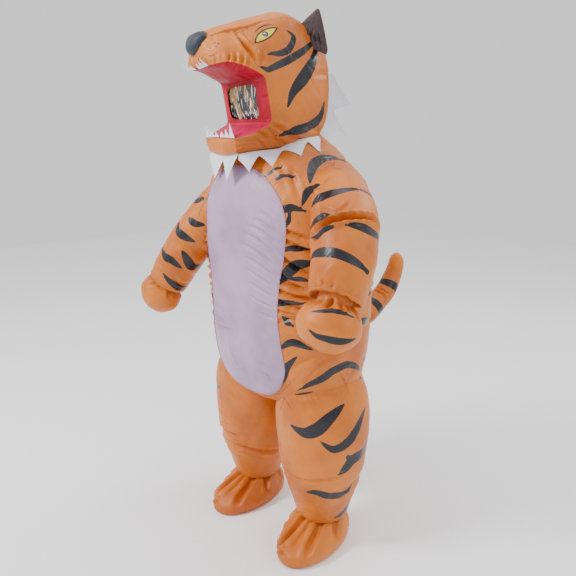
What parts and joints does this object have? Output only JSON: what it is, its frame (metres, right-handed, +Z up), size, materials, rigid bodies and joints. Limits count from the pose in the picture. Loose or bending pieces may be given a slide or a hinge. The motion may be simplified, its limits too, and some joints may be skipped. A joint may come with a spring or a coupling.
{
  "type": "inflatable costume",
  "caption": "Full-body inflatable tiger costume in thin cloth, held out by air, with open-mouthed head, viewing window, mitts, shoe covers and tail.",
  "frame": {"origin": "middle of the shoulder line, 1.40 m above the ground the costume stands on", "axes": "+Z up, -Y the way the costume faces, +X to the costume's left"},
  "size_m": [1.1355, 1.0189, 1.9075],
  "materials": {
    "orange_nylon": "thin glossy coated nylon with black printed stripes",
    "belly_nylon": "thin glossy coated nylon",
    "red_nylon": "thin glossy coated nylon",
    "nose_nylon": "thin glossy coated nylon",
    "ear_nylon": "thin glossy coated nylon",
    "white_nylon": "thin satin nylon",
    "clear_film": "clear crinkled film"
  },
  "bodies": {
    "root": {"back_left": "orange_nylon", "back_right": "orange_nylon", "back_placket": "orange_nylon", "front_left": "orange_nylon", "front_right": "orange_nylon", "crotch_gusset": "orange_nylon", "sleeve_left_outer": "orange_nylon", "sleeve_left_inner": "orange_nylon", "sleeve_right_outer": "orange_nylon", "sleeve_right_inner": "orange_nylon", "leg_left_outer": "orange_nylon", "leg_left_inner": "orange_nylon", "leg_right_outer": "orange_nylon", "leg_right_inner": "orange_nylon", "mitt_left": "orange_nylon", "mitt_right": "orange_nylon", "shoe_cover_left": "orange_nylon", "shoe_cover_right": "orange_nylon", "sole_left": "orange_nylon", "sole_right": "orange_nylon", "tail": "orange_nylon", "head_top": "orange_nylon", "head_nape": "orange_nylon", "underjaw": "orange_nylon", "head_side_left": "orange_nylon", "head_side_right": "orange_nylon", "muzzle_front": "orange_nylon", "chin": "orange_nylon", "ear_left_back": "orange_nylon", "ear_right_back": "orange_nylon", "belly_panel": "belly_nylon", "palate": "red_nylon", "throat_wall": "red_nylon", "mouth_floor": "red_nylon", "nose": "nose_nylon", "ear_left_front": "ear_nylon", "ear_right_front": "ear_nylon", "ruff_front": "white_nylon", "ruff_left": "white_nylon", "ruff_right": "white_nylon", "mane_left": "white_nylon", "mane_right": "white_nylon", "teeth_upper_left": "white_nylon", "teeth_upper_right": "white_nylon", "teeth_lower_left": "white_nylon", "teeth_lower_right": "white_nylon", "window": "clear_film"}
  },
  "joints": []
}
